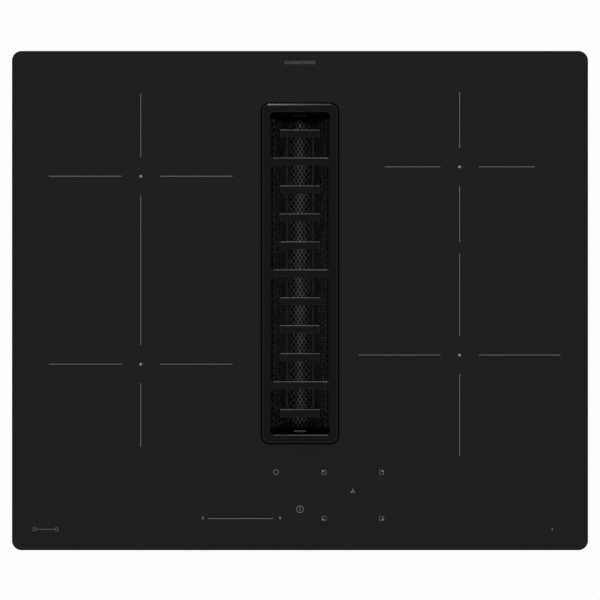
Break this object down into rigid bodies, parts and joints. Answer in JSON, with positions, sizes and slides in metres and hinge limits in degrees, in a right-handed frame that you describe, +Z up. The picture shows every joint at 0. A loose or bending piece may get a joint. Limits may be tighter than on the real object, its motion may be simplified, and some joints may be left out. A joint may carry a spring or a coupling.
{
  "type": "downdraft induction cooktop",
  "caption": "Built-in four-zone induction cooktop with a central lift-off air grille, lift-out grease filter, fan housing below and a rear flat-duct outlet.",
  "frame": {"origin": "under the middle of the glass, on the plane that the fan housing stands on", "axes": "+X to the cook's right, +Y to the back, +Z up"},
  "size_m": [0.6, 0.52, 0.2165],
  "materials": {
    "black_glass": "gloss black glass ceramic",
    "seal_foam": "matt foam",
    "casing_steel": "zinc coated sheet",
    "spring_steel": "bright spring steel",
    "screw_steel": "zinc plated",
    "black_plastic": "fine matt moulded",
    "housing_plastic": "dark grey moulded",
    "grille_iron": "matt black coated casting",
    "filter_metal": "dark coated expanded metal",
    "tab_steel": "dark coated steel",
    "impeller_plastic": "black glass filled",
    "motor_can": "black painted can",
    "mount_rubber": "black rubber",
    "shaft_steel": "ground steel",
    "board_green": "green board",
    "board_parts": "dark component cases",
    "sink_aluminium": "extruded",
    "coil_litz": "enamelled litz",
    "coil_ferrite": "dark ferrite",
    "coil_mica": "mica sheet",
    "natural_plastic": "natural moulded",
    "sensor_metal": "white ceramic"
  },
  "bodies": {
    "hob": {"glass_top": "black_glass", "worktop_seal": "seal_foam", "hob_tray": "casing_steel", "centring_springs": "spring_steel", "tray_screws": "screw_steel", "intake_collar": "black_plastic", "collar_seal": "seal_foam", "throat_seal": "seal_foam", "base_housing": "housing_plastic", "housing_cover": "housing_plastic", "housing_screws": "screw_steel", "fan_scroll": "black_plastic", "scroll_cover": "black_plastic", "scroll_screws": "screw_steel", "fan_motor": "motor_can", "motor_mounts": "mount_rubber", "motor_screws": "screw_steel", "outlet_spigot": "housing_plastic", "driver_box": "black_plastic", "driver_lid": "black_plastic", "driver_board": "board_green", "terminal_box": "black_plastic", "terminal_block": "natural_plastic", "terminal_hinge_pin": "shaft_steel", "cord_clamp": "natural_plastic", "coil_ferrites": "coil_ferrite", "coil_formers": "natural_plastic", "coil_windings": "coil_litz", "coil_mica": "coil_mica", "coil_sensors": "sensor_metal", "carrier_posts": "natural_plastic", "mains_filter_board": "board_green", "board_standoffs": "natural_plastic", "touch_board": "board_green", "touch_carrier": "natural_plastic", "touch_contacts": "mount_rubber", "coil_carrier_left": "sink_aluminium", "power_board_left": "board_green", "power_parts_left": "board_parts", "heatsink_left": "sink_aluminium", "cooling_blower_left": "black_plastic", "coil_carrier_right": "sink_aluminium", "power_board_right": "board_green", "power_parts_right": "board_parts", "heatsink_right": "sink_aluminium", "cooling_blower_right": "black_plastic"},
    "drip_tray": {"drip_tray": "black_plastic"},
    "grease_filter": {"filter_frame": "filter_metal", "filter_mesh": "filter_metal", "filter_end_caps": "filter_metal", "filter_pull_tab": "tab_steel"},
    "intake_grille": {"intake_grille": "grille_iron"},
    "fan_rotor": {"fan_impeller": "impeller_plastic", "fan_shaft": "shaft_steel", "impeller_nut": "shaft_steel"},
    "blower_rotor_left": {"cooling_rotor_left": "impeller_plastic"},
    "blower_rotor_right": {"cooling_rotor_right": "impeller_plastic"},
    "terminal_cover": {"terminal_cover": "black_plastic"}
  },
  "joints": [
    {"name": "drip_tray_lift", "type": "slide", "parent": "hob", "child": "drip_tray", "axis": [0, 0, 1], "range_m": [0, 0.19]},
    {"name": "filter_lift", "type": "slide", "parent": "drip_tray", "child": "grease_filter", "axis": [0, 0, 1], "range_m": [0, 0.125]},
    {"name": "grille_lift", "type": "slide", "parent": "grease_filter", "child": "intake_grille", "axis": [0, 0, 1], "range_m": [0, 0.03]},
    {"name": "fan_spin", "type": "hinge", "parent": "hob", "child": "fan_rotor", "pos_m": [0.1495, -0.02, 0.05], "axis": [0, 0, 1], "continuous": true},
    {"name": "blower_spin_left", "type": "hinge", "parent": "hob", "child": "blower_rotor_left", "pos_m": [-0.17, -0.199, 0.165], "axis": [0, 0, 1], "continuous": true},
    {"name": "blower_spin_right", "type": "hinge", "parent": "hob", "child": "blower_rotor_right", "pos_m": [0.17, -0.199, 0.165], "axis": [0, 0, 1], "continuous": true},
    {"name": "terminal_cover_hinge", "type": "hinge", "parent": "hob", "child": "terminal_cover", "pos_m": [-0.205, 0.1538, 0.11275], "axis": [-1, 0, 0], "range_deg": [0, 110]}
  ]
}
